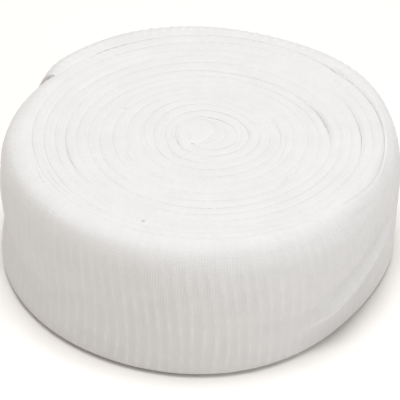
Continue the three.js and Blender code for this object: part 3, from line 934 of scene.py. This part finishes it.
class BandageLook(bpy.types.PropertyGroup):
    """Colours and relief of the net."""

    # White and Shade are the two ends of the net's tone: raised yarn and gaps, and also painted light on the
    # rib crests and the cut face, and painted shade towards the foot and in the rib valleys
    white: colour("White", "Raised yarn", (0.924, 0.917, 0.91))
    shade: colour("Shade", "Gaps in the net", (0.775, 0.767, 0.757))
    fleck: colour("Fleck", "Dark flecks", (0.30, 0.31, 0.31))
    wale_pitch: distance("Stitch pitch", "Spacing of the stitches along the tube", 0.0009)
    row_pitch: distance("Row pitch", "Spacing of the rows of stitches", 0.00105)
    relief_depth: distance("Relief", "Height of the stitches", 0.00012)
    relief: number("Relief share", "Strength of the stitches' relief", 1.0)
    gloss: number("Gloss", "Specular level of the yarn", 0.25)
    nap: number("Nap", "Soft sheen of the loose fibres", 0.15)


class BandageStudio(bpy.types.PropertyGroup):
    """Floor, light and camera."""

    floor: colour("Floor", "Colour of the floor", (0.98, 0.96, 0.935))
    key_power: number("Key light", "Power of the soft light overhead", 46.0, unit="POWER")
    fill_power: number("Fill light", "Power of the light at the right", 2.3, unit="POWER")
    sky: number("Sky", "Strength of the even light all round", 0.315)
    lens: number("Lens", "Focal length", 336.0, unit="CAMERA")
    away: distance("Camera distance", "From the camera to the point it looks at", 1.224)
    elevation: degrees("Elevation", "Angle of the view below level", 36)
    roll: degrees("Roll", "Turn of the camera about its view", -2)
    aim: FloatVectorProperty(
        name="Aim", description="Point that the camera looks at", subtype="XYZ", size=3, unit="LENGTH",
        default=(0.00005, -0.0029, 0.02316), precision=5,
    )


def add_piece(context, mesh):
    """Puts a finished mesh into the scene, with the cloth's material, on the root body."""
    piece = bpy.data.objects.new(mesh.name, mesh)
    context.scene.collection.objects.link(piece)
    cloth = bpy.data.materials.get("knitted_net") or net_material(context.scene.bandage_look)
    mesh.materials.append(cloth)
    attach(piece, "root")
    return piece


class BANDAGE_OT_inner_turns(bpy.types.Operator):
    """Wind the inner turns of the tube round its folded start"""

    bl_idname = "bandage.inner_turns"
    bl_label = "Inner Turns"

    def execute(self, context):
        winding = Winding(context.scene.bandage_sizes)
        total = winding.length(JOIN_ANGLE)
        run = np.linspace(0, total, int(total / winding.inner_step))
        grid = np.arange(START_ANGLE, JOIN_ANGLE + 1.0)
        angles = np.interp(run, winding.length(grid), grid)
        angles[-1] = JOIN_ANGLE
        shells = Shells()
        add_tube(shells, winding, angles, INNER_ROWS, no_side)
        add_pad(shells, winding, PAD_ROWS)
        piece = add_piece(context, shells.mesh("inner_turns"))
        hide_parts("roll")
        return {"FINISHED"}


class BANDAGE_OT_outer_turn(bpy.types.Operator):
    """Wind the turn that shows outside, and lay its loose end against the roll"""

    bl_idname = "bandage.outer_turn"
    bl_label = "Outer Turn and Loose End"

    def execute(self, context):
        sizes = context.scene.bandage_sizes
        winding = Winding(sizes)
        steps = int((CUT_ANGLE - JOIN_ANGLE) / math.degrees(sizes.step))
        angles = np.linspace(JOIN_ANGLE, CUT_ANGLE, steps)
        shells = Shells()
        add_tube(shells, winding, angles, OUTER_ROWS, open_side, cut=True)
        piece = add_piece(context, shells.mesh("outer_turn"))
        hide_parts("roll", "loose_end")
        length = winding.length(CUT_ANGLE) - winding.length(JOIN_ANGLE)
        return {"FINISHED"}


class BANDAGE_OT_stage(bpy.types.Operator):
    """Set up the floor, the soft studio light and the camera"""

    bl_idname = "bandage.stage"
    bl_label = "Floor, Light and Camera"

    def execute(self, context):
        studio = context.scene.bandage_studio
        self.add_camera(context, studio)
        self.add_floor(context, studio)
        self.add_light(context, "key", studio.key_power, **KEY_LIGHT)
        self.add_light(context, "fill", studio.fill_power, **FILL_LIGHT)
        world = bpy.data.worlds.new("studio")
        world.use_nodes = True
        sky = world.node_tree.nodes["Background"].inputs
        sky["Color"].default_value = SKY_COLOR
        sky["Strength"].default_value = studio.sky
        context.scene.world = world
        context.scene.view_settings.view_transform = "Standard"
        return {"FINISHED"}

    def add_camera(self, context, studio):
        """The camera looks along +Y and down by the elevation, at the aim."""
        view = Vector((0, math.cos(studio.elevation), -math.sin(studio.elevation)))
        right, up = Vector((1, 0, 0)), Vector((0, math.sin(studio.elevation), math.cos(studio.elevation)))
        c, s = math.cos(studio.roll), math.sin(studio.roll)
        across, above = right * c - up * s, right * s + up * c
        camera = bpy.data.objects.new("camera", bpy.data.cameras.new("camera"))
        camera.data.lens = studio.lens
        camera.data.sensor_width = SENSOR_WIDTH
        camera.data.clip_end = SEEN_TO
        place = Vector(studio.aim) - view * studio.away
        camera.matrix_world = Matrix.Translation(place) @ Matrix((across, above, -view)).transposed().to_4x4()
        context.scene.collection.objects.link(camera)
        context.scene.camera = camera

    def add_floor(self, context, studio):
        """A plain pale floor."""
        mesh = bpy.data.meshes.new("floor")
        low, high = -FLOOR_REACH, FLOOR_REACH
        corners = [(low, low, 0), (high, low, 0), (high, high, 0), (low, high, 0)]
        mesh.from_pydata(corners, [], [(0, 1, 2, 3)])
        floor = bpy.data.objects.new("floor", mesh)
        nodes = Nodes("floor")
        nodes.feed(nodes.shader, "Base Color", [*studio.floor, 1])
        nodes.feed(nodes.shader, "Roughness", 0.9)
        nodes.feed(nodes.shader, "Specular IOR Level", 0.0)
        mesh.materials.append(nodes.material)
        context.scene.collection.objects.link(floor)

    def add_light(self, context, name, power, place, size, color):
        """A square soft light that faces the middle of the roll."""
        light = bpy.data.objects.new(name, bpy.data.lights.new(name, "AREA"))
        light.data.energy = power
        light.data.color = color
        light.data.size = size
        light.location = place
        light.rotation_euler = (-Vector(place)).to_track_quat("-Z", "Y").to_euler()
        context.scene.collection.objects.link(light)


OPERATORS = (BANDAGE_OT_stage, BANDAGE_OT_inner_turns, BANDAGE_OT_outer_turn)


class BANDAGE_PT_panel(bpy.types.Panel):
    """Sizes, looks and buttons of the bandage roll"""

    bl_idname = "BANDAGE_PT_panel"
    bl_label = "Bandage Roll"
    bl_space_type = "VIEW_3D"
    bl_region_type = "UI"
    bl_category = "Bandage Roll"

    def draw(self, context):
        for group_name in GROUPS:
            group = getattr(context.scene, group_name)
            box = self.layout.box()
            for name in group.bl_rna.properties.keys():
                if name not in ("rna_type", "name"):
                    box.prop(group, name)
        for operator in OPERATORS:
            self.layout.operator(operator.bl_idname)


GROUPS = {"bandage_sizes": BandageSizes, "bandage_look": BandageLook, "bandage_studio": BandageStudio}
CLASSES = (*GROUPS.values(), *OPERATORS, BANDAGE_PT_panel)


def register():
    for cls in CLASSES:
        bpy.utils.register_class(cls)
    for name, group in GROUPS.items():
        setattr(bpy.types.Scene, name, PointerProperty(type=group))


def unregister():
    for name in GROUPS:
        delattr(bpy.types.Scene, name)
    for cls in reversed(CLASSES):
        bpy.utils.unregister_class(cls)


def main():
    register()
    bpy.ops.bandage.stage()
    bpy.ops.bandage.inner_turns()
    bpy.ops.bandage.outer_turn()


if __name__ == "__main__":
    main()
